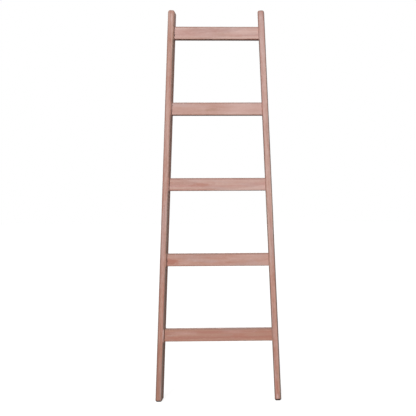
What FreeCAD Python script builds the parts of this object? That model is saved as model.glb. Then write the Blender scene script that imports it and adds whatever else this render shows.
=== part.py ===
import FreeCAD, Part
import math
import os
import Sketcher

# A blanket ladder: two splayed stiles and five flat rungs between them, held by blind dowels.
# Millimetres. +X is to the right, +Y towards the wall behind the ladder and +Z up.
# The origin is on the floor, midway between the two feet and midway through their depth.

document = FreeCAD.newDocument("BlanketLadder")
X_AXIS = FreeCAD.Vector(1, 0, 0)
Y_AXIS = FreeCAD.Vector(0, 1, 0)
Z_AXIS = FreeCAD.Vector(0, 0, 1)
SAME_PLACE = 0.01  # lengths that differ by less are the same

RUNG_NAMES = ["bottom_rung", "lower_rung", "middle_rung", "upper_rung", "top_rung"]
SIDES = {"left": -1, "right": 1}


# ---------------------------------------------------------------- driving dimensions

sheet = document.addObject("Spreadsheet::Sheet", "Sizes")
sheet_rows = []


def cell(alias, content, note):
    """Put one named value on the next row of the sheet."""
    sheet_rows.append(alias)
    row = len(sheet_rows)
    sheet.set("A%d" % row, alias)
    sheet.set("B%d" % row, content)
    sheet.setAlias("B%d" % row, alias)
    sheet.set("C%d" % row, note)


cell("foot_to_bottom_rung", "271", "floor to the middle of the bottom rung")
cell("rung_pitch", "309.5", "middle of one rung to the middle of the next")
cell("top_rung_to_tip", "91", "middle of the top rung to the tips of the stiles")
cell("foot_width", "516", "across both stiles at the floor")
cell("tip_width", "390", "across both stiles at the tips")
cell("stile_face", "27", "a stile across its front face")
cell("stile_depth", "40", "a stile from front to back")
cell("stile_ease", "3", "rounding of a stile's long edges and end edges")
cell("tip_round", "9", "rounding of the tip's corners, seen from the front")
cell("foot_round", "8", "rounding of the foot's corners, seen from the front")
cell("rung_height", "52", "a rung from its lower to its upper edge")
cell("rung_thickness", "22", "a rung from front to back")
cell("rung_ease", "2.5", "rounding of a rung's four long edges")
cell("dowel_diameter", "8", "across a dowel")
cell("dowel_length", "40", "a dowel from end to end")
cell("dowel_in_stile", "16", "how much of a dowel is in the stile")
cell("dowel_to_edge", "13", "a dowel's axis to the nearer edge of the rung")
cell("dowel_chamfer", "1", "chamfer on both ends of a dowel")
cell("flute_depth", "0.4", "depth of a flute")
cell("flute_count", "8", "flutes round a dowel")
cell("bore_clearance", "0.05", "gap for glue round a dowel")
cell("bore_end_gap", "1", "gap for glue beyond each end of a dowel")

# Worked out from the sizes above.
cell("ladder_height", "=foot_to_bottom_rung + %d * rung_pitch + top_rung_to_tip" % (len(RUNG_NAMES) - 1),
     "floor to tip")
cell("splay", "=atan((foot_width - tip_width) / 2 / ladder_height)", "how far each stile leans inwards")
cell("stile_length", "=ladder_height / cos(splay)", "a stile along its outer edge")
cell("foot_slope", "=stile_face * tan(splay)", "rise of the foot's cut, so that it stands flat")
cell("first_joint", "=(foot_to_bottom_rung + stile_face * sin(splay)) / cos(splay)",
     "foot to the middle of the bottom joint, along the stile")
cell("joint_pitch", "=rung_pitch / cos(splay)", "between two joints, along the stile")
cell("dowel_in_rung", "=dowel_length - dowel_in_stile", "how much of a dowel is in the rung")
cell("dowel_spacing", "=rung_height - 2 * dowel_to_edge", "between the axes of a joint's two dowels")
cell("bore_diameter", "=dowel_diameter + 2 * bore_clearance", "across a dowel's bore")
cell("stile_bore_depth", "=dowel_in_stile + bore_end_gap", "depth of a bore in a stile")
cell("rung_bore_depth", "=dowel_in_rung + bore_end_gap", "depth of a bore in a rung")
cell("rung_end_slope", "=rung_height / 2 * tan(splay)", "how much the cut end gains from middle to edge")
for step, rung_name in enumerate(RUNG_NAMES):
    cell(rung_name + "_rise", "=foot_to_bottom_rung + %d * rung_pitch" % step, "floor to the rung's middle")
    cell(rung_name + "_reach", "=foot_width / 2 - stile_face / cos(splay) - %s_rise * tan(splay)" % rung_name,
         "half of the rung's length, along its middle")
document.recompute()


def size(alias):
    """One value of the sheet as a plain number."""
    return FreeCAD.Units.Quantity(sheet.get(alias)).Value


# ---------------------------------------------------------------- sketches and features

def new_body(name, placement):
    """Start the body of one piece; its label is the piece's name."""
    body = document.addObject("PartDesign::Body", name)
    body.Label = name
    body.setExpression("Placement", placement)
    return body


def origin_part(body, role):
    """One of the body's own origin planes or axes."""
    for feature in body.Origin.OriginFeatures:
        if feature.Role == role:
            return feature
    raise RuntimeError("%s has no %s" % (body.Label, role))


def new_sketch(body, name, role, offset=None):
    """A sketch on one of the body's origin planes, or on that plane moved by an expression."""
    sketch = body.newObject("Sketcher::SketchObject", name)
    sketch.AttachmentSupport = [(origin_part(body, role), "")]
    sketch.MapMode = "FlatFace"
    if offset:
        sketch.setExpression("AttachmentOffset", offset)
    return sketch


def fix(sketch, *constraint):
    """Add a constraint that has no size."""
    sketch.addConstraint(Sketcher.Constraint(*constraint))


def dimension(sketch, kind, *places, bound_to):
    """Add a dimension and bind it to the sheet."""
    number = sketch.addConstraint(Sketcher.Constraint(kind, *places, sketch_guess(sketch, kind, places)))
    sketch.setExpression("Constraints[%d]" % number, bound_to)


def sketch_guess(sketch, kind, places):
    """The dimension's size in the rough drawing, from which the solver starts."""
    if kind in ("Radius", "Diameter"):
        radius = sketch.Geometry[places[0]].Radius
        return radius if kind == "Radius" else 2 * radius
    start = sketch.getPoint(places[0], places[1])
    end = sketch.getPoint(places[2], places[3])
    return end.x - start.x if kind == "DistanceX" else end.y - start.y


def outline(sketch, corners):
    """A closed outline of straight lines, each from one corner to the next."""
    first = sketch.GeometryCount
    count = len(corners)
    for index in range(count):
        start = FreeCAD.Vector(*corners[index], 0)
        end = FreeCAD.Vector(*corners[(index + 1) % count], 0)
        sketch.addGeometry(Part.LineSegment(start, end), False)
    for index in range(count):
        fix(sketch, "Coincident", first + index, 2, first + (index + 1) % count, 1)


def feature_on(body, kind, name, sketch):
    """Start a feature of a body that is made from a sketch."""
    feature = body.newObject("PartDesign::" + kind, name)
    feature.Profile = sketch
    return feature


def edges_of(feature, wanted):
    """The names of those edges of a feature that a test picks out."""
    document.recompute()
    names = []
    for number, edge in enumerate(feature.Shape.Edges, start=1):
        if wanted(edge):
            names.append("Edge%d" % number)
    return names


def rounded(body, name, base, wanted, radius):
    """Round those edges of a feature that a test picks out."""
    edges = edges_of(base, wanted)
    feature = body.newObject("PartDesign::Fillet", name)
    feature.Base = (base, edges)
    feature.setExpression("Radius", radius)
    return feature


def runs_along(edge, axis):
    """True for a straight edge parallel to an axis."""
    if not isinstance(edge.Curve, Part.Line):
        return False
    return edge.Curve.Direction.cross(axis).Length < SAME_PLACE


def bore_sketch(body, name, offset):
    """The two circles of a joint, one over the other, centred on the sketch's origin."""
    sketch = new_sketch(body, name, "YZ_Plane", offset)
    for number, half in enumerate((-0.5, 0.5)):
        middle = FreeCAD.Vector(0, half * size("dowel_spacing"), 0)
        sketch.addGeometry(Part.Circle(middle, Z_AXIS, size("bore_diameter") / 2), False)
        dimension(sketch, "Diameter", number, bound_to="Sizes.bore_diameter")
    fix(sketch, "PointOnObject", 0, 3, -2)
    fix(sketch, "Symmetric", 0, 3, 1, 3, -1, 1)
    dimension(sketch, "DistanceY", 0, 3, 1, 3, bound_to="Sizes.dowel_spacing")
    return sketch


def bored(body, name, sketch, depth, along_normal):
    """Drill flat-bottomed blind bores at a sketch's circles."""
    document.recompute()
    solid_volume = body.Shape.Volume
    feature = feature_on(body, "Hole", name, sketch)
    feature.ThreadType = "None"
    feature.DepthType = "Dimension"
    feature.DrillPoint = "Flat"
    feature.Reversed = along_normal
    feature.setExpression("Diameter", "Sizes.bore_diameter")
    feature.setExpression("Depth", depth)
    document.recompute()
    if feature.Shape.Volume >= solid_volume:
        raise RuntimeError("%s cuts nothing from %s" % (name, body.Label))
    return feature


# ---------------------------------------------------------------- the pieces

def stile(side):
    """A straight bar that leans inwards: flat-cut foot, rounded tip, eased edges and ten blind bores.

    Its own frame has Z along the outer edge, from the foot, and X across the front face.
    """
    sign = SIDES[side]
    body = new_body(side + "_stile",
                    "placement(vector(%d * Sizes.foot_width / 2; 0; 0);"
                    " rotation(vector(0; 1; 0); %d * Sizes.splay))" % (sign, -sign))
    inner = -sign * size("stile_face")
    length = size("stile_length")

    front = new_sketch(body, side + "_stile_front", "XZ_Plane")
    outline(front, [(0, 0), (inner, size("foot_slope")), (inner, length), (0, length)])
    fix(front, "Coincident", 0, 1, -1, 1)
    fix(front, "Vertical", 1)
    fix(front, "Horizontal", 2)
    fix(front, "Vertical", 3)
    across = (1, 1, 0, 1) if sign > 0 else (0, 1, 1, 1)
    dimension(front, "DistanceX", *across, bound_to="Sizes.stile_face")
    dimension(front, "DistanceY", 0, 1, 1, 1, bound_to="Sizes.foot_slope")
    dimension(front, "DistanceY", 0, 1, 3, 1, bound_to="Sizes.stile_length")

    bar = feature_on(body, "Pad", side + "_stile_bar", front)
    bar.SideType = "Symmetric"
    bar.setExpression("Length", "Sizes.stile_depth")

    def at_tip(edge):
        return runs_along(edge, Y_AXIS) and edge.CenterOfMass.z > length / 2

    def at_foot(edge):
        return runs_along(edge, Y_AXIS) and edge.CenterOfMass.z < length / 2

    def on_front_or_back(edge):
        box = edge.BoundBox
        return box.YLength < SAME_PLACE and abs(abs(box.YMin) - size("stile_depth") / 2) < SAME_PLACE

    tip = rounded(body, side + "_stile_tip", bar, at_tip, "Sizes.tip_round")
    foot = rounded(body, side + "_stile_foot", tip, at_foot, "Sizes.foot_round")
    rounded(body, side + "_stile_edges", foot, on_front_or_back, "Sizes.stile_ease")

    face = bore_sketch(body, side + "_stile_joint",
                       "placement(vector(0; Sizes.first_joint; %d * Sizes.stile_face);"
                       " rotation(vector(1; 0; 0); 0))" % -sign)
    first = bored(body, side + "_stile_bores", face, "Sizes.stile_bore_depth", sign > 0)
    joints = body.newObject("PartDesign::LinearPattern", side + "_stile_joints")
    joints.Originals = [first]
    joints.Direction = (origin_part(body, "Z_Axis"), [""])
    joints.Mode = "Spacing"
    joints.setExpression("Offset", "Sizes.joint_pitch")
    joints.Occurrences = len(RUNG_NAMES)
    body.Tip = joints
    return body


def rung(name):
    """A flat board whose ends are cut to the splay, with two blind bores square to each end."""
    rise = "Sizes.%s_rise" % name
    reach = "Sizes.%s_reach" % name
    body = new_body(name, "placement(vector(0; 0; %s); rotation(vector(0; 1; 0); 0))" % rise)
    half_height = size("rung_height") / 2
    half_bottom = size(name + "_reach") + size("rung_end_slope")
    half_top = size(name + "_reach") - size("rung_end_slope")

    front = new_sketch(body, name + "_front", "XZ_Plane")
    outline(front, [(-half_bottom, -half_height), (half_bottom, -half_height),
                    (half_top, half_height), (-half_top, half_height)])
    fix(front, "Symmetric", 0, 1, 0, 2, -2)
    fix(front, "Symmetric", 2, 1, 2, 2, -2)
    dimension(front, "DistanceX", 0, 1, 0, 2, bound_to="2 * (%s + Sizes.rung_end_slope)" % reach)
    dimension(front, "DistanceX", 2, 2, 2, 1, bound_to="2 * (%s - Sizes.rung_end_slope)" % reach)
    dimension(front, "DistanceY", 0, 1, -1, 1, bound_to="Sizes.rung_height / 2")
    dimension(front, "DistanceY", -1, 1, 2, 1, bound_to="Sizes.rung_height / 2")

    board = feature_on(body, "Pad", name + "_board", front)
    board.SideType = "Symmetric"
    board.setExpression("Length", "Sizes.rung_thickness")
    rounded(body, name + "_edges", board, lambda edge: runs_along(edge, X_AXIS), "Sizes.rung_ease")

    end = bore_sketch(body, name + "_end",
                      "placement(vector(0; 0; %s); rotation(vector(1; 0; 0); -Sizes.splay))" % reach)
    right = bored(body, name + "_bores", end, "Sizes.rung_bore_depth", False)
    left = body.newObject("PartDesign::Mirrored", name + "_both_ends")
    left.Originals = [right]
    left.MirrorPlane = (origin_part(body, "YZ_Plane"), [""])
    body.Tip = left
    return body


def serrated(sketch):
    """A dowel's section: ridges on an outer circle and flutes on an inner one, joined by equal lines."""
    ridge_radius = size("dowel_diameter") / 2
    circles = ((ridge_radius, "Sizes.dowel_diameter / 2"),
               (ridge_radius - size("flute_depth"), "Sizes.dowel_diameter / 2 - Sizes.flute_depth"))
    for number, (radius, expression) in enumerate(circles):
        sketch.addGeometry(Part.Circle(FreeCAD.Vector(), Z_AXIS, radius), True)
        fix(sketch, "Coincident", number, 3, -1, 1)
        dimension(sketch, "Radius", number, bound_to=expression)
    corners = []
    for number in range(2 * int(size("flute_count"))):
        angle = math.pi * (0.5 + number / size("flute_count"))
        radius = circles[number % 2][0]
        corners.append((radius * math.cos(angle), radius * math.sin(angle)))
    outline(sketch, corners)
    first_line = len(circles)
    for number in range(len(corners)):
        fix(sketch, "PointOnObject", first_line + number, 1, number % 2)
        if number:
            fix(sketch, "Equal", first_line, first_line + number)
    fix(sketch, "PointOnObject", first_line, 1, -2)


def dowel_pair(rung_name, side):
    """The two fluted dowels of one joint, part in the stile and part in the rung.

    Their frame is at the middle of the joint, with X square to the joint's face.
    """
    sign = SIDES[side]
    name = "%s_%s_dowels" % (rung_name, side)
    body = new_body(name, "placement(vector(%d * Sizes.%s_reach; 0; Sizes.%s_rise);"
                          " rotation(vector(0; 1; 0); %d * Sizes.splay))"
                    % (sign, rung_name, rung_name, -sign))
    body.AllowCompound = True
    start = "-Sizes.dowel_in_rung" if sign > 0 else "-Sizes.dowel_in_stile"

    section = new_sketch(body, name + "_section", "YZ_Plane",
                         "placement(vector(0; -Sizes.dowel_spacing / 2; %s);"
                         " rotation(vector(1; 0; 0); 0))" % start)
    serrated(section)
    rod = feature_on(body, "Pad", name + "_rod", section)
    rod.setExpression("Length", "Sizes.dowel_length")
    rod_ends = edges_of(rod, lambda edge: edge.BoundBox.XLength < SAME_PLACE)
    chamfer = body.newObject("PartDesign::Chamfer", name + "_ends")
    chamfer.Base = (rod, rod_ends)
    chamfer.setExpression("Size", "Sizes.dowel_chamfer")
    document.recompute()

    pair = body.newObject("PartDesign::LinearPattern", name + "_pair")
    pair.TransformMode = "Whole shape"
    pair.Direction = (origin_part(body, "Z_Axis"), [""])
    pair.Mode = "Spacing"
    pair.setExpression("Offset", "Sizes.dowel_spacing")
    pair.Occurrences = 2
    body.Tip = pair
    return body


# ---------------------------------------------------------------- build, check and write

pieces = []
for side_name in SIDES:
    pieces.append(stile(side_name))
for rung_name in RUNG_NAMES:
    pieces.append(rung(rung_name))
    for side_name in SIDES:
        pieces.append(dowel_pair(rung_name, side_name))
document.recompute()

for item in document.Objects:
    if "Invalid" in item.State or "Error" in item.State:
        raise RuntimeError("%s failed: %s" % (item.Label, item.State))

for piece in pieces:
    if piece.Shape.isNull() or not piece.Shape.isValid():
        raise RuntimeError("%s has no valid shape" % piece.Label)

os.makedirs("parts", exist_ok=True)
for piece in pieces:
    piece.Shape.exportStep("parts/%s.step" % piece.Label)
    box = piece.Shape.BoundBox
    print("%-28s %d solids %9.1f mm3  x %.1f..%.1f  z %.1f..%.1f" % (
        piece.Label, len(piece.Shape.Solids), piece.Shape.Volume, box.XMin, box.XMax, box.ZMin, box.ZMax))
print("splay %.3f degrees, height %.1f mm" % (size("splay"), size("ladder_height")))
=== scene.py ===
"""The looks of a limed wooden blanket ladder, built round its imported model."""

import math
from typing import NamedTuple

import bpy
from mathutils import Matrix, Vector


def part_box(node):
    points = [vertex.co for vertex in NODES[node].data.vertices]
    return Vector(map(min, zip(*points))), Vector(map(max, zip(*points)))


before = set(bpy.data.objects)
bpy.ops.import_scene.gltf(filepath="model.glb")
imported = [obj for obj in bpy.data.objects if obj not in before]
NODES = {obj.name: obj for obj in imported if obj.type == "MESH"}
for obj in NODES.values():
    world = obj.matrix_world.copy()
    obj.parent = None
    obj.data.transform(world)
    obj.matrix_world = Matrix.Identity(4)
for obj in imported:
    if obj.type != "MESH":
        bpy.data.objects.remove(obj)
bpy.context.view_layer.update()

RIGHT = Vector((1, 0, 0))
FRONT = Vector((0, -1, 0))
UP = Vector((0, 0, 1))


# ---------------------------------------------------------------- colours, linear

RED_WOOD = (0.418, 0.174, 0.129)
TAN_WOOD = (0.465, 0.262, 0.188)
GREY_WOOD = (0.415, 0.250, 0.215)
LATE_WOOD = (0.310, 0.122, 0.092)  # the dark part of a year ring
END_WOOD = (0.360, 0.170, 0.115)
BARE_BEECH = (0.620, 0.440, 0.290)
LIME = (0.900, 0.725, 0.705)
OLIVE_STAIN = (0.350, 0.195, 0.125)
# dirt near a stile's foot, and painted shade on the stiles' inner sides and where a rung meets a
# stile
GRIME_AND_SHADE = (0.140, 0.078, 0.058)
# old dirt in worn edges, with painted shade on the rounded edges
EDGE_GRIME_AND_SHADE = (0.168, 0.124, 0.104)
# near-black painted shade where a stile's foot meets the floor
SOLE_SHADE = (0.028, 0.020, 0.016)
# dust, with painted shade, on what faces up
DUST_AND_SHADE = (0.250, 0.240, 0.225)
WHITE = (1.0, 1.0, 1.0)


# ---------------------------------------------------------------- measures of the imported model

STILE_FACE = 0.027  # a stile across its front face
STILE_LOW, STILE_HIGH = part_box("right_stile")
LEAN = math.atan((STILE_HIGH.x - STILE_LOW.x - STILE_FACE) / (STILE_HIGH.z - STILE_LOW.z))


def along_stile(rung):
    """A rung's place along a stile, from the stile's middle."""
    low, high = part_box(rung)
    return ((low.z + high.z) / 2 - (STILE_LOW.z + STILE_HIGH.z) / 2) / math.cos(LEAN)


FIRST_JOINT = along_stile("bottom_rung")
JOINT_PITCH = along_stile("lower_rung") - FIRST_JOINT


# ---------------------------------------------------------------- noise

class Pattern(NamedTuple):
    """Noise: its waves per metre along the grain and both ways across it, and how fine it is."""
    waves: tuple
    detail: float = 2.0
    roughness: float = 0.5
    distortion: float = 0.0


SWAY = Pattern((3.0, 9.0, 9.0))
RIPPLE = Pattern((9.0, 45.0, 45.0), detail=3.0)
STREAK = Pattern((2.6, 120.0, 120.0), detail=4.0, roughness=0.6)
BLOTCH = Pattern((5.0, 30.0, 30.0), detail=3.0, roughness=0.6, distortion=0.4)
CLOUD = Pattern((8.0, 34.0, 34.0), detail=3.0, roughness=0.6)
FIBRE = Pattern((22.0, 1300.0, 1300.0), detail=3.0, roughness=0.6)
SPECK = Pattern((60.0, 170.0, 170.0), roughness=0.6)
PORE = Pattern((75.0, 2100.0, 2100.0), detail=1.0)
BEECH_FLECK = Pattern((70.0, 900.0, 900.0), detail=3.0)

SEED_STEP = (1.37, 0.71, 0.53)  # how far one seed's noise lies from the next
CLOUD_OFFSET = (3.1, 5.7, 1.9)  # keeps the clouds unlike the blotches


# ---------------------------------------------------------------- node trees

class Graph:
    """A node tree, with a short method for each kind of node that it uses."""

    def __init__(self, owner):
        """Start with the emptied tree of a material or a world."""
        owner.use_nodes = True
        self.tree = owner.node_tree
        self.tree.nodes.clear()

    def node(self, kind, inputs=(), **settings):
        """Add a node; inputs are (socket name or number, value or socket) pairs."""
        node = self.tree.nodes.new(kind)
        for name, value in settings.items():
            setattr(node, name, value)
        for name, value in inputs:
            self.feed(node.inputs[name], value)
        return node

    def feed(self, socket, value):
        """Link a socket to another one, or set its own value."""
        if isinstance(value, bpy.types.NodeSocket):
            self.tree.links.new(value, socket)
        elif isinstance(value, tuple) and socket.type == "RGBA":
            socket.default_value = (*value, 1.0)
        else:
            socket.default_value = value

    def math(self, operation, *values):
        """The result of one operation on numbers or sockets."""
        return self.node("ShaderNodeMath", enumerate(values), operation=operation).outputs[0]

    def plus(self, first, second):
        return self.math("ADD", first, second)

    def minus(self, first, second):
        return self.math("SUBTRACT", first, second)

    def times(self, first, second):
        return self.math("MULTIPLY", first, second)

    def least(self, first, second):
        return self.math("MINIMUM", first, second)

    def most(self, first, second):
        return self.math("MAXIMUM", first, second)

    def hypotenuse(self, first, second):
        """The distance between the ends of two lengths that are square to each other."""
        squares = self.plus(self.times(first, first), self.times(second, second))
        return self.math("SQRT", squares)

    def raised(self, value, mask, amount):
        """The value, raised by that amount where the mask is 1."""
        return self.math("MULTIPLY_ADD", mask, amount, value)

    def scaled(self, value, mask, share):
        """The value, grown by that share of itself where the mask is 1."""
        return self.times(value, self.raised(1.0, mask, share))

    def swing(self, pattern, span, middle=0.0):
        """A pattern from 0 to 1, stretched to that span round the middle."""
        return self.raised(middle - span / 2, pattern, span)

    def vector(self, operation, first, second):
        """The vector that one operation makes of two others."""
        inputs = [(0, first), (1, second)]
        return self.node("ShaderNodeVectorMath", inputs, operation=operation).outputs["Vector"]

    def cosine(self, first, second):
        """The cosine of the angle between two directions."""
        inputs = [(0, first), (1, second)]
        return self.node("ShaderNodeVectorMath", inputs, operation="DOT_PRODUCT").outputs["Value"]

    def noise(self, place, pattern):
        """Noise from 0 to 1."""
        stretched = self.vector("MULTIPLY", place, pattern.waves)
        node = self.node("ShaderNodeTexNoise", [
            ("Vector", stretched), ("Scale", 1.0), ("Detail", pattern.detail),
            ("Roughness", pattern.roughness), ("Distortion", pattern.distortion)])
        return node.outputs["Fac"]

    def remap(self, value, low, high, to_low=0.0, to_high=1.0):
        """Turn the range low to high smoothly into to_low to to_high, and hold it beyond."""
        inputs = [(0, value), (1, low), (2, high), (3, to_low), (4, to_high)]
        return self.node("ShaderNodeMapRange", inputs, interpolation_type="SMOOTHSTEP").outputs[0]

    def curve(self, value, stops):
        """A value read from an eased line through stops, each (place, value), from place 0 to 1."""
        node = self.node("ShaderNodeValToRGB", [(0, value)])
        ramp = node.color_ramp
        ramp.interpolation = "EASE"
        ramp.elements.remove(ramp.elements[1])
        for place, level in stops:
            stop = ramp.elements.new(place) if place else ramp.elements[0]
            stop.color = (level, level, level, 1.0)
        return node.outputs[0]

    def mix(self, share, first, second):
        """The first colour, with that share of the second."""
        # The node's colours are its inputs 6 and 7 and its output 2.
        inputs = [(0, share), (6, first), (7, second)]
        return self.node("ShaderNodeMix", inputs, data_type="RGBA").outputs[2]

    def tint(self, colour, tone, mask, strength):
        """The colour, with that strength of a tone where the mask is 1."""
        return self.mix(self.times(mask, strength), colour, tone)


# ---------------------------------------------------------------- boards

class Board:
    """Where one wooden piece lies: u runs along its grain, v across its face and w to the front.

    On a rung u runs to the right and v up. On a stile u runs up, and v to the left.
    side is -1 for the left stile, 1 for the right one and 0 for a rung.
    """

    def __init__(self, centre, along, length, width, thickness, side=0):
        self.centre = centre
        self.along = along
        self.half = (length / 2, width / 2, thickness / 2)
        self.side = side
        across = FRONT.cross(along)
        self.turn = Matrix((along, across, FRONT)).transposed().to_euler()


def stile_board(name, side):
    """A stile leans inwards, so its length is more than its height."""
    low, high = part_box(name)
    along = Vector((-side * math.sin(LEAN), 0, math.cos(LEAN)))
    length = (high.z - low.z) / math.cos(LEAN)
    return Board((low + high) / 2, along, length, STILE_FACE, high.y - low.y, side)


def rung_board(name):
    """A rung lies level."""
    low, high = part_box(name)
    size = high - low
    return Board((low + high) / 2, RIGHT, size.x, size.z, size.y)


class EdgeGrimeAndShade(NamedTuple):
    """Darkening along one side of a board, partly old dirt in the worn edge and partly painted
    shade on the rounded edge: its strength, and how far from the edge it reaches.
    """
    strength: float
    reach: float


class Stain(NamedTuple):
    """A patch of another tone: its middle, half its length and width, and its strength."""
    u: float
    v: float
    half_length: float
    half_width: float
    tone: tuple
    strength: float


class Look(NamedTuple):
    """What makes one board unlike the next."""
    seed: float  # gives the board noise of its own
    pith: tuple  # where the tree's centre lay, in v and w
    drift: float  # how much the year rings widen for each metre along u
    lime: list  # the share of lime at places along u, from 0 at the low end to 1 at the high one
    stains: list  # of Stain, the lowest layer first
    figure: float = 1.0  # how strongly rings and streaks show
    mottle: float = 0.08  # how strongly the lime is flecked
    low_side: EdgeGrimeAndShade = EdgeGrimeAndShade(0.08, 0.0070)  # where v is below 0
    high_side: EdgeGrimeAndShade = EdgeGrimeAndShade(0.42, 0.0070)  # where v is above 0
    soil: float = 0.0  # how dirty a stile is near its foot
    sole: float = 0.0034  # how high the painted shade blackens a stile's foot where it meets the floor


# ---------------------------------------------------------------- the grain

RING_PITCH = 0.0042  # from one year ring to the next
RING_PROFILE = [(0.0, 0.12), (0.30, 0.0), (0.62, 0.30), (0.88, 1.0), (0.96, 0.85), (1.0, 0.12)]
SWAY_SPAN = 0.016
RIPPLE_SPAN = 0.006

# The levels of noise between which each pattern comes up.
STREAK_LEVELS = (0.35, 0.65)
GREY_LEVELS = (0.46, 0.70)  # of the blotches
CLOUD_LEVELS = (0.30, 0.60)
FIBRE_LEVELS = (0.50, 0.75)
PORE_LEVELS = (0.60, 0.72)

# How strongly each pattern colours the wood.
GREY_STRENGTH = 0.75
LATE_STRENGTH = 0.30
FIBRE_STRENGTH = 0.30

# How high each pattern stands in the relief, as a share of its depth.
LATE_HEIGHT = 0.30
FIBRE_HEIGHT = 0.55
PORE_HEIGHT = -0.45
RELIEF_DEPTH = 0.0004
RELIEF_STRENGTH = 0.35

WOOD_ROUGHNESS = 0.70
LIME_ROUGHNESS = 0.12  # more where there is lime
RUBBED_ROUGHNESS = -0.10  # less where it is rubbed
WOOD_SPECULAR = 0.15


# ---------------------------------------------------------------- lime, wear, dirt, painted shade and painted light

# How the share of lime changes with each pattern.
CLOUD_LIME = 0.34
STREAK_LIME = 0.20
FIBRE_LIME = 0.06
FIGURE_LIME = 0.10  # added to FIBRE_LIME on a board of full figure
LATE_LIME = -0.08
RUBBED_LIME = -0.22
PORE_LIME = 0.22
UNDERSIDE_SHADE_LIME = 0.2  # what an underside keeps of its lime; the rest is painted shade
INSIDE_SHADE_LIME = -0.92  # what the stiles' inner sides lose of it, as painted shade
INSIDE_LIGHT_LIME = 0.35  # what they have more of it beside a rung and at the tip, as painted light
MOST_LIME = 0.8

# Distances from an edge or a joint, from where a thing is strongest to where it ends.
RUBBED_BAND = (0.0008, 0.0060)
EDGE_GRIME_AND_SHADE_START = 0.0012  # it ends at the reach that a board's look tells
JOINT_BAND = (0.0002, 0.0018)

# The cosine of a surface to a direction at which it begins to face that way, and does in full.
UNDERSIDE_BAND = (0.3, 0.8)
INSIDE_BAND = (0.5, 0.95)
TOPSIDE_BAND = (0.55, 0.95)
END_BAND = (0.55, 0.95)

# What a thing has of its strength where clouds are thin, and where they are thick.
RUBBED_PATCHES = (0.45, 1.0)
EDGE_GRIME_AND_SHADE_PATCHES = (0.75, 1.1)
JOINT_SHADE_PATCHES = (0.15, 0.40)

STAIN_BAND = (0.25, 1.1)  # from a stain's middle, in its half lengths and half widths
STAIN_BLOTCH = 1.2  # how far blotches and specks fray its outline
STAIN_SPECK = 1.4

SPARED_BAND = (0.022, 0.032)  # from a joint's middle; a rung reaches 0.026 from it
SPARED_SHADE = 0.15  # what a stile has of its painted inside shade beside a rung
TIP_BAND = (0.070, 0.050)  # from the tip
TIP_SHADE = 0.35  # what a stile has of its painted inside shade at the tip

FOOT_REACH = 0.9  # how far up from its foot a stile's edge dirt and painted shade are heavier
FOOT_GRIME_AND_SHADE = 1.0  # how much heavier a stile's edge dirt and painted shade are at the foot
SPARED_GRIME_AND_SHADE = -0.85  # what the edge darkening loses on the inner side, beside a rung and at the tip
INSIDE_EDGE_GRIME_AND_SHADE = -0.70  # what it loses where the inner side takes its own painted shade
MOST_GRIME_AND_SHADE = 0.95
INSIDE_SHADE = 0.30  # painted shade, all over the inner side
INSIDE_FOOT_SHADE = 0.35  # more of that painted shade at the foot
SOIL_BAND = (0.02, 0.42)  # from the foot
SOLE_FADE = 0.0030  # how far above the sole its black ends
SOLE_STRENGTH = 0.97

DUST_AND_SHADE_STRENGTH = 0.40
END_STRENGTH = 0.50


# ---------------------------------------------------------------- limed wood

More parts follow.
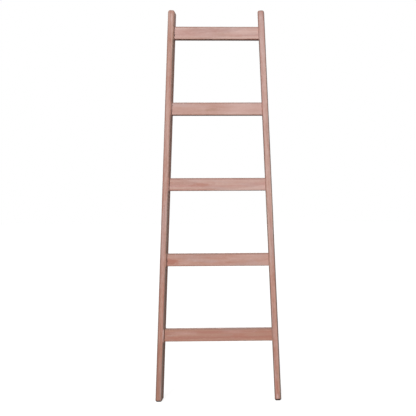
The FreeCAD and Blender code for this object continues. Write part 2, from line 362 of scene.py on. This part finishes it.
class Wood:
    """The limed hardwood of one board, in layers from the bare wood out to the dust and painted
    shade on it.
    """

    def __init__(self, name, board, look):
        self.board = board
        self.look = look
        self.half_u, self.half_v, self.half_w = board.half
        self.material = bpy.data.materials.new(name)
        self.g = Graph(self.material)
        self.find_place()
        self.find_patterns()
        self.late = self.late_wood()
        self.edge = self.edge_distance()
        self.rubbed = self.rubbed_share()
        self.lime = self.g.least(self.g.most(self.lime_share(), 0.0), MOST_LIME)
        self.finish(self.colour())

    def find_place(self):
        """Find a point's u, v and w, the same moved by the seed, and which way it faces."""
        g = self.g
        place = g.node("ShaderNodeTexCoord").outputs["Object"]
        local = g.node("ShaderNodeMapping", [
            ("Vector", place), ("Location", self.board.centre), ("Rotation", self.board.turn)],
            vector_type="TEXTURE").outputs[0]
        self.u, self.v, self.w = g.node("ShaderNodeSeparateXYZ", [(0, local)]).outputs
        offset = tuple(self.look.seed * step for step in SEED_STEP)
        self.seeded = g.vector("ADD", local, offset)
        self.normal = g.node("ShaderNodeNewGeometry").outputs["Normal"]

    def find_patterns(self):
        """Make the streaks, blotches, clouds, fibres, specks and pores."""
        g = self.g
        self.streak = g.swing(g.noise(self.seeded, STREAK), self.look.figure, middle=0.5)
        self.blotch = g.noise(self.seeded, BLOTCH)
        self.cloud = g.noise(g.vector("ADD", self.seeded, CLOUD_OFFSET), CLOUD)
        self.fibre = g.noise(self.seeded, FIBRE)
        self.speck = g.noise(self.seeded, SPECK)
        self.pores = g.remap(g.noise(self.seeded, PORE), *PORE_LEVELS)

    def late_wood(self):
        """The dark part of the year rings: circles round the pith, bent by slow waves."""
        g = self.g
        pith_v, pith_w = self.look.pith
        sway = g.swing(g.noise(self.seeded, SWAY), SWAY_SPAN)
        ripple = g.swing(g.noise(self.seeded, RIPPLE), RIPPLE_SPAN)
        across = g.plus(g.minus(self.v, pith_v), sway)
        deep = g.minus(self.w, pith_w)
        radius = g.raised(g.hypotenuse(across, deep), self.u, self.look.drift)
        radius = g.plus(radius, ripple)
        ring = g.math("FRACT", g.math("DIVIDE", radius, RING_PITCH))
        return g.times(g.curve(ring, RING_PROFILE), self.look.figure)

    def inwards(self, place, half):
        """How far a place is from the nearer of two faces, at half and at minus half."""
        return self.g.minus(half, self.g.math("ABSOLUTE", place))

    def edge_distance(self):
        """How far a point on the surface is from the nearest long edge."""
        return self.g.most(self.inwards(self.v, self.half_v), self.inwards(self.w, self.half_w))

    def rubbed_share(self):
        """Patchy wear along the edges."""
        near_edge = self.g.remap(self.edge, *RUBBED_BAND, 1.0, 0.0)
        return self.g.times(near_edge, self.patches(RUBBED_PATCHES))

    def patches(self, shares):
        """Shares that follow the clouds."""
        return self.g.remap(self.cloud, *CLOUD_LEVELS, *shares)

    def lime_share(self):
        """Lime lies thicker where the wood is open, and is rubbed off along the edges; undersides
        lose it as painted shade.
        """
        g = self.g
        share = g.curve(g.raised(0.5, self.u, 0.5 / self.half_u), self.look.lime)
        share = g.plus(share, g.swing(self.cloud, CLOUD_LIME))
        share = g.plus(share, g.swing(self.streak, STREAK_LIME))
        share = g.plus(share, g.swing(self.fibre, FIBRE_LIME + FIGURE_LIME * self.look.figure))
        share = g.plus(share, g.swing(self.speck, self.look.mottle))
        share = g.raised(share, self.late, LATE_LIME)
        share = g.raised(share, self.rubbed, RUBBED_LIME)
        share = g.raised(share, self.pores, PORE_LIME)
        # undersides keep little lime: painted shade
        facing_down = g.cosine(self.normal, -UP)
        return g.times(share, g.remap(facing_down, *UNDERSIDE_BAND, 1.0, UNDERSIDE_SHADE_LIME))

    def limed(self):
        """The colour of the bare wood, with the lime on it."""
        g = self.g
        colour = g.mix(g.remap(self.streak, *STREAK_LEVELS), RED_WOOD, TAN_WOOD)
        colour = g.tint(colour, GREY_WOOD, g.remap(self.blotch, *GREY_LEVELS), GREY_STRENGTH)
        colour = g.tint(colour, LATE_WOOD, self.late, LATE_STRENGTH)
        colour = g.tint(colour, LATE_WOOD, g.remap(self.fibre, *FIBRE_LEVELS), FIBRE_STRENGTH)
        return g.mix(self.lime, colour, LIME)

    def stained(self, colour):
        """The colour, with the board's stains and their frayed outlines."""
        g = self.g
        for stain in self.look.stains:
            off_u = g.math("DIVIDE", g.minus(self.u, stain.u), stain.half_length)
            off_v = g.math("DIVIDE", g.minus(self.v, stain.v), stain.half_width)
            off = g.plus(g.hypotenuse(off_u, off_v), g.swing(self.blotch, STAIN_BLOTCH))
            off = g.plus(off, g.swing(self.speck, STAIN_SPECK))
            inside = g.remap(off, *STAIN_BAND, 1.0, 0.0)
            colour = g.tint(colour, stain.tone, inside, stain.strength)
        return colour

    def edge_grime_and_shade(self):
        """Darkening in the edges, partly old dirt where they are worn and partly painted shade on
        their rounding, with its own strength and reach on each side.
        """
        g = self.g
        low, high = self.look.low_side, self.look.high_side
        on_high_side = g.math("GREATER_THAN", self.v, 0.0)
        strength = g.raised(low.strength, on_high_side, high.strength - low.strength)
        reach = g.raised(low.reach, on_high_side, high.reach - low.reach)
        grime_and_shade = g.times(g.remap(self.edge, EDGE_GRIME_AND_SHADE_START, reach, 1.0, 0.0), strength)
        return g.times(grime_and_shade, self.patches(EDGE_GRIME_AND_SHADE_PATCHES))

    def dusty_and_shaded(self, colour):
        """The colour, with dust and painted shade on what faces up, and darker end grain that
        drinks the lime.
        """
        g = self.g
        facing_up = g.remap(g.cosine(self.normal, UP), *TOPSIDE_BAND)
        # dust, with painted shade, on what faces up
        colour = g.tint(colour, DUST_AND_SHADE, facing_up, DUST_AND_SHADE_STRENGTH)
        end_on = g.math("ABSOLUTE", g.cosine(self.normal, self.board.along))
        return g.tint(colour, END_WOOD, g.remap(end_on, *END_BAND), END_STRENGTH)

    def finish(self, colour):
        """Add the relief, with open fibres and pores and proud late wood, and the sheen."""
        g = self.g
        height = g.times(self.late, LATE_HEIGHT)
        height = g.raised(height, self.fibre, FIBRE_HEIGHT)
        height = g.raised(height, self.pores, PORE_HEIGHT)
        bump = g.node("ShaderNodeBump", [
            ("Strength", RELIEF_STRENGTH), ("Distance", RELIEF_DEPTH), ("Height", height)])
        roughness = g.raised(WOOD_ROUGHNESS, self.lime, LIME_ROUGHNESS)
        roughness = g.raised(roughness, self.rubbed, RUBBED_ROUGHNESS)
        shader = g.node("ShaderNodeBsdfPrincipled", [
            ("Base Color", colour), ("Roughness", roughness),
            ("Specular IOR Level", WOOD_SPECULAR), ("Normal", bump.outputs[0])])
        g.node("ShaderNodeOutputMaterial", [("Surface", shader.outputs[0])])


class StileWood(Wood):
    """A stile's wood: dirtier near the foot, painted shade on the inner side, painted light at the
    tip and by a rung.
    """

    def find_place(self):
        """Find, too, where a point is from the foot, how far inside it is, and how much painted
        shade its inner side takes.
        """
        super().find_place()
        g = self.g
        self.from_foot = g.plus(self.u, self.half_u)
        self.near_foot = g.remap(self.from_foot, 0.0, FOOT_REACH, 1.0, 0.0)
        from_joint = g.math("PINGPONG", g.minus(self.u, FIRST_JOINT), JOINT_PITCH / 2)
        shaded = g.remap(from_joint, *SPARED_BAND, SPARED_SHADE, 1.0)
        tip_start, tip_end = (self.half_u - from_tip for from_tip in TIP_BAND)
        shaded = g.least(shaded, g.remap(self.u, tip_start, tip_end, 1.0, TIP_SHADE))
        self.unshaded = g.minus(1.0, shaded)
        facing_in = g.remap(g.cosine(self.normal, -self.board.side * RIGHT), *INSIDE_BAND)
        # painted light: more lime on the inner side beside a rung and at the tip
        self.lit_inside = g.times(facing_in, self.unshaded)
        # where the inner side takes its painted shade
        self.shaded_inside = g.times(facing_in, shaded)

    def edge_distance(self):
        """How far a point on the surface is from the nearest edge, at the ends too."""
        g = self.g
        to_side = self.inwards(self.v, self.half_v)
        to_face = self.inwards(self.w, self.half_w)
        to_end = self.inwards(self.u, self.half_u)
        return g.most(g.least(to_side, to_face), g.least(g.most(to_side, to_face), to_end))

    def lime_share(self):
        """Painted shade leaves little lime on the inner side; beside a rung and at the tip more
        lime is painted light.
        """
        share = self.g.scaled(super().lime_share(), self.shaded_inside, INSIDE_SHADE_LIME)
        return self.g.raised(share, self.lit_inside, INSIDE_LIGHT_LIME)

    def edge_grime_and_shade(self):
        """Edge dirt and painted shade are heavier near the foot, and weaker on the inner side
        beside a rung and at the tip.
        """
        g = self.g
        grime_and_shade = g.scaled(super().edge_grime_and_shade(), self.near_foot, FOOT_GRIME_AND_SHADE)
        grime_and_shade = g.least(grime_and_shade, MOST_GRIME_AND_SHADE)
        on_inner_side = g.math("GREATER_THAN", g.times(self.v, self.board.side), 0.0)
        grime_and_shade = g.scaled(grime_and_shade, g.times(self.unshaded, on_inner_side), SPARED_GRIME_AND_SHADE)
        return g.scaled(grime_and_shade, self.shaded_inside, INSIDE_EDGE_GRIME_AND_SHADE)

    def colour(self):
        """The layers of a stile, with painted shade on its inner side and along the lower edge of
        its foot.
        """
        g = self.g
        sole = self.look.sole
        colour = self.stained(self.limed())
        soiled = g.remap(self.from_foot, *SOIL_BAND, 1.0, 0.0)
        colour = g.tint(colour, GRIME_AND_SHADE, soiled, self.look.soil)
        inside_shade = g.raised(INSIDE_SHADE, self.near_foot, INSIDE_FOOT_SHADE)
        # painted shade on the inner side, heavier near the foot
        colour = g.tint(colour, GRIME_AND_SHADE, self.shaded_inside, inside_shade)
        # old dirt and painted shade along the edges
        colour = g.mix(self.edge_grime_and_shade(), colour, EDGE_GRIME_AND_SHADE)
        # near-black painted shade along the foot's lower edge, where it meets the floor
        sole_shade = g.remap(self.from_foot, sole, sole + SOLE_FADE, SOLE_STRENGTH, 0.0)
        colour = g.mix(sole_shade, colour, SOLE_SHADE)
        return self.dusty_and_shaded(colour)


class RungWood(Wood):
    """A rung's wood, which meets the stiles in a thin dark line of painted shade."""

    def colour(self):
        """The layers of a rung."""
        g = self.g
        # old dirt and painted shade along the edges
        colour = g.mix(self.edge_grime_and_shade(), self.stained(self.limed()), EDGE_GRIME_AND_SHADE)
        # a thin dark line of painted shade where the rung meets a stile
        slope = math.tan(LEAN)
        to_joint = self.inwards(self.u, self.half_u - self.half_v * slope)
        to_joint = g.raised(to_joint, self.v, -slope)
        near_joint = g.remap(to_joint, *JOINT_BAND, 1.0, 0.0)
        joint_shade = g.times(near_joint, self.patches(JOINT_SHADE_PATCHES))
        return g.mix(joint_shade, self.dusty_and_shaded(colour), GRIME_AND_SHADE)


def dress(name, material):
    """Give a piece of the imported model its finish."""
    slots = NODES[name].data.materials
    slots.clear()
    slots.append(material)


# ---------------------------------------------------------------- the look of each board

SIDES = {"left_stile": -1, "right_stile": 1}  # the sign of x

# The stiles carry less lime, and so are darker, towards their lower ends.
STILE_LOOKS = {
    "left_stile": Look(
        seed=1.0, pith=(0.021, -0.052), drift=0.006, mottle=0.30, soil=0.20,
        low_side=EdgeGrimeAndShade(0.85, 0.0082), high_side=EdgeGrimeAndShade(0.40, 0.0066),
        lime=[(0.0, 0.0), (0.12, 0.03), (0.23, 0.12), (0.32, 0.10), (0.50, 0.19), (0.70, 0.22),
              (0.80, 0.21), (0.91, 0.08), (1.0, 0.24)],
        stains=[Stain(FIRST_JOINT, -0.0095, 0.026, 0.002, LIME, 0.55),
                Stain(0.793, 0.000, 0.010, 0.020, RED_WOOD, 0.30),
                Stain(0.770, -0.002, 0.022, 0.004, LIME, 0.26),
                Stain(-0.755, -0.006, 0.045, 0.004, LIME, 0.22),
                Stain(-0.700, 0.002, 0.060, 0.004, RED_WOOD, 0.35)]),
    "right_stile": Look(
        seed=2.0, pith=(-0.014, -0.061), drift=-0.008, mottle=0.30, sole=0.0056,
        low_side=EdgeGrimeAndShade(0.95, 0.0054), high_side=EdgeGrimeAndShade(0.95, 0.0056),
        lime=[(0.0, 0.05), (0.12, 0.14), (0.22, 0.08), (0.32, 0.16), (0.50, 0.26), (0.72, 0.26),
              (0.90, 0.33), (1.0, 0.26)],
        stains=[Stain(0.793, 0.000, 0.010, 0.020, RED_WOOD, 0.25),
                Stain(0.770, 0.003, 0.016, 0.005, LIME, 0.22),
                Stain(-0.783, 0.001, 0.017, 0.005, LIME, 0.34),
                Stain(-0.740, 0.002, 0.050, 0.005, RED_WOOD, 0.30)]),
}

RUNG_LOOKS = {
    "top_rung": Look(
        seed=3.0, pith=(0.012, -0.085), drift=0.009, figure=0.95,
        lime=[(0.0, 0.34), (0.50, 0.30), (0.72, 0.34), (1.0, 0.33)],
        stains=[Stain(0.012, -0.006, 0.050, 0.011, OLIVE_STAIN, 0.22),
                Stain(0.090, 0.010, 0.060, 0.008, LIME, 0.10)]),
    "upper_rung": Look(
        seed=4.0, pith=(-0.010, -0.070), drift=-0.007, figure=0.20,
        lime=[(0.0, 0.26), (0.45, 0.23), (0.75, 0.34), (1.0, 0.29)],
        stains=[Stain(-0.018, -0.004, 0.034, 0.009, OLIVE_STAIN, 0.36),
                Stain(-0.066, -0.008, 0.026, 0.006, OLIVE_STAIN, 0.22)]),
    "middle_rung": Look(
        seed=5.0, pith=(0.006, -0.095), drift=0.011, figure=0.85,
        lime=[(0.0, 0.22), (0.40, 0.23), (0.60, 0.28), (1.0, 0.31)],
        stains=[Stain(-0.066, -0.001, 0.056, 0.009, RED_WOOD, 0.60),
                Stain(-0.020, 0.008, 0.030, 0.006, RED_WOOD, 0.25)]),
    "lower_rung": Look(
        seed=6.0, pith=(-0.016, -0.064), drift=-0.009, figure=0.38,
        lime=[(0.0, 0.14), (0.25, 0.12), (0.50, 0.16), (1.0, 0.21)],
        stains=[Stain(-0.192, -0.008, 0.040, 0.017, RED_WOOD, 0.85),
                Stain(0.010, 0.004, 0.045, 0.006, RED_WOOD, 0.25)]),
    "bottom_rung": Look(
        seed=7.0, pith=(0.010, -0.078), drift=0.008, figure=0.75, mottle=0.28,
        lime=[(0.0, 0.0), (0.35, 0.01), (0.70, 0.0), (1.0, 0.01)],
        stains=[Stain(0.000, 0.000, 0.300, 0.040, GREY_WOOD, 0.26),
                Stain(-0.140, 0.008, 0.060, 0.010, LIME, 0.10),
                Stain(-0.185, -0.012, 0.050, 0.010, RED_WOOD, 0.40),
                Stain(0.060, 0.013, 0.060, 0.008, LIME, 0.08),
                Stain(0.078, -0.002, 0.050, 0.010, RED_WOOD, 0.45)]),
}

for stile_name, look in STILE_LOOKS.items():
    board = stile_board(stile_name, SIDES[stile_name])
    dress(stile_name, StileWood(stile_name + "_wood", board, look).material)
for rung_name, look in RUNG_LOOKS.items():
    dress(rung_name, RungWood(rung_name + "_wood", rung_board(rung_name), look).material)


# ---------------------------------------------------------------- dowels

BEECH_FLECK_LEVELS = (0.45, 0.75)
BEECH_ROUGHNESS = 0.6
BEECH_RELIEF_DEPTH = 0.0003
BEECH_RELIEF_STRENGTH = 0.2


def beech():
    """Bare beech of the dowels, which only shows where a joint is taken apart."""
    material = bpy.data.materials.new("bare_beech")
    g = Graph(material)
    fleck = g.noise(g.node("ShaderNodeTexCoord").outputs["Object"], BEECH_FLECK)
    colour = g.mix(g.remap(fleck, *BEECH_FLECK_LEVELS), BARE_BEECH, TAN_WOOD)
    bump = g.node("ShaderNodeBump", [
        ("Strength", BEECH_RELIEF_STRENGTH), ("Distance", BEECH_RELIEF_DEPTH), ("Height", fleck)])
    shader = g.node("ShaderNodeBsdfPrincipled", [
        ("Base Color", colour), ("Roughness", BEECH_ROUGHNESS), ("Normal", bump.outputs[0])])
    g.node("ShaderNodeOutputMaterial", [("Surface", shader.outputs[0])])
    return material


dowel_finish = beech()
for name in NODES:
    if name.endswith("_dowels"):
        dress(name, dowel_finish)


# ---------------------------------------------------------------- floor and background

FLOOR_HALF = 30.0
FLOOR_SHOWN = 0.22  # how much of the light on the floor shows, and with it the shadow
FLOOR_GLOW = 0.87
FLOOR_BOUNCE = (0.12, 0.11, 0.105)
AMBIENT = 0.27
AMBIENT_COLOUR = (1.0, 0.98, 0.96)


def seen_directly(g):
    """1 for the camera's own rays and for reflections, 0 for the light that falls on things."""
    rays = g.node("ShaderNodeLightPath").outputs
    seen = g.most(rays["Is Camera Ray"], rays["Is Glossy Ray"])
    return g.most(seen, rays["Is Transmission Ray"])


def white_floor():
    """White to the eye, with the ladder's shadow on it, but it throws little light up."""
    bpy.ops.mesh.primitive_plane_add(size=2 * FLOOR_HALF, location=(0, 0, 0))
    floor = bpy.context.object
    floor.name = "floor"
    material = bpy.data.materials.new("floor_white")
    g = Graph(material)
    lit = g.node("ShaderNodeBsdfDiffuse", [("Color", (FLOOR_SHOWN,) * 3)])
    glow = g.node("ShaderNodeEmission", [("Color", WHITE), ("Strength", FLOOR_GLOW)])
    shown = g.node("ShaderNodeAddShader", [(0, lit.outputs[0]), (1, glow.outputs[0])])
    dim = g.node("ShaderNodeBsdfDiffuse", [("Color", FLOOR_BOUNCE)])
    either = g.node("ShaderNodeMixShader", [
        (0, seen_directly(g)), (1, dim.outputs[0]), (2, shown.outputs[0])])
    g.node("ShaderNodeOutputMaterial", [("Surface", either.outputs[0])])
    floor.data.materials.append(material)


def white_world():
    """White to the eye too, but it lights the ladder only dimly."""
    world = bpy.data.worlds.new("studio")
    bpy.context.scene.world = world
    g = Graph(world)
    dim = g.node("ShaderNodeBackground", [("Color", AMBIENT_COLOUR), ("Strength", AMBIENT)])
    white = g.node("ShaderNodeBackground", [("Color", WHITE), ("Strength", 1.0)])
    either = g.node("ShaderNodeMixShader", [
        (0, seen_directly(g)), (1, dim.outputs[0]), (2, white.outputs[0])])
    g.node("ShaderNodeOutputWorld", [("Surface", either.outputs[0])])


white_floor()
white_world()


# ---------------------------------------------------------------- light

FULL_SUN = math.pi  # shows a white surface that faces the lamp as white


def sun(name, towards, brightness, degrees):
    """A soft lamp without falloff; towards points from the object to the lamp."""
    data = bpy.data.lights.new(name, "SUN")
    data.energy = FULL_SUN * brightness
    data.angle = math.radians(degrees)
    lamp = bpy.data.objects.new(name, data)
    lamp.rotation_euler = Vector(towards).to_track_quat("Z", "Y").to_euler()
    bpy.context.scene.collection.objects.link(lamp)


sun("key", towards=(-0.16, -0.85, 0.50), brightness=0.95, degrees=18)
sun("back_fill", towards=(-0.45, 0.85, 0.25), brightness=0.62, degrees=50)
sun("side_fill", towards=(0.95, 0.30, 0.20), brightness=0.18, degrees=60)


# ---------------------------------------------------------------- camera

CAMERA_PLACE = Vector((0.2454, -2.500, 0.7845))
CAMERA_YAW = math.radians(-1.387)  # turned to the right
CAMERA_PITCH = math.radians(-0.579)  # tilted down
CAMERA_ROLL = math.radians(-0.279)
CAMERA_LENS = 52.34
CAMERA_SENSOR = 36.0
IMAGE_SIDE = 416
SHIFT_PIXELS = (84.0, 7.8)  # how far the picture is moved right and down in the image


def add_camera():
    """Look at the ladder's front from a little to the right, with a shifted lens."""
    data = bpy.data.cameras.new("camera")
    data.lens = CAMERA_LENS
    data.sensor_width = CAMERA_SENSOR
    data.shift_x = -SHIFT_PIXELS[0] / IMAGE_SIDE
    data.shift_y = SHIFT_PIXELS[1] / IMAGE_SIDE
    camera = bpy.data.objects.new("camera", data)
    turn = (Matrix.Rotation(CAMERA_YAW, 4, "Z")
            @ Matrix.Rotation(math.pi / 2 + CAMERA_PITCH, 4, "X")
            @ Matrix.Rotation(CAMERA_ROLL, 4, "Z"))
    camera.matrix_world = Matrix.Translation(CAMERA_PLACE) @ turn
    bpy.context.scene.collection.objects.link(camera)
    bpy.context.scene.camera = camera


add_camera()
bpy.context.scene.view_settings.view_transform = "Standard"
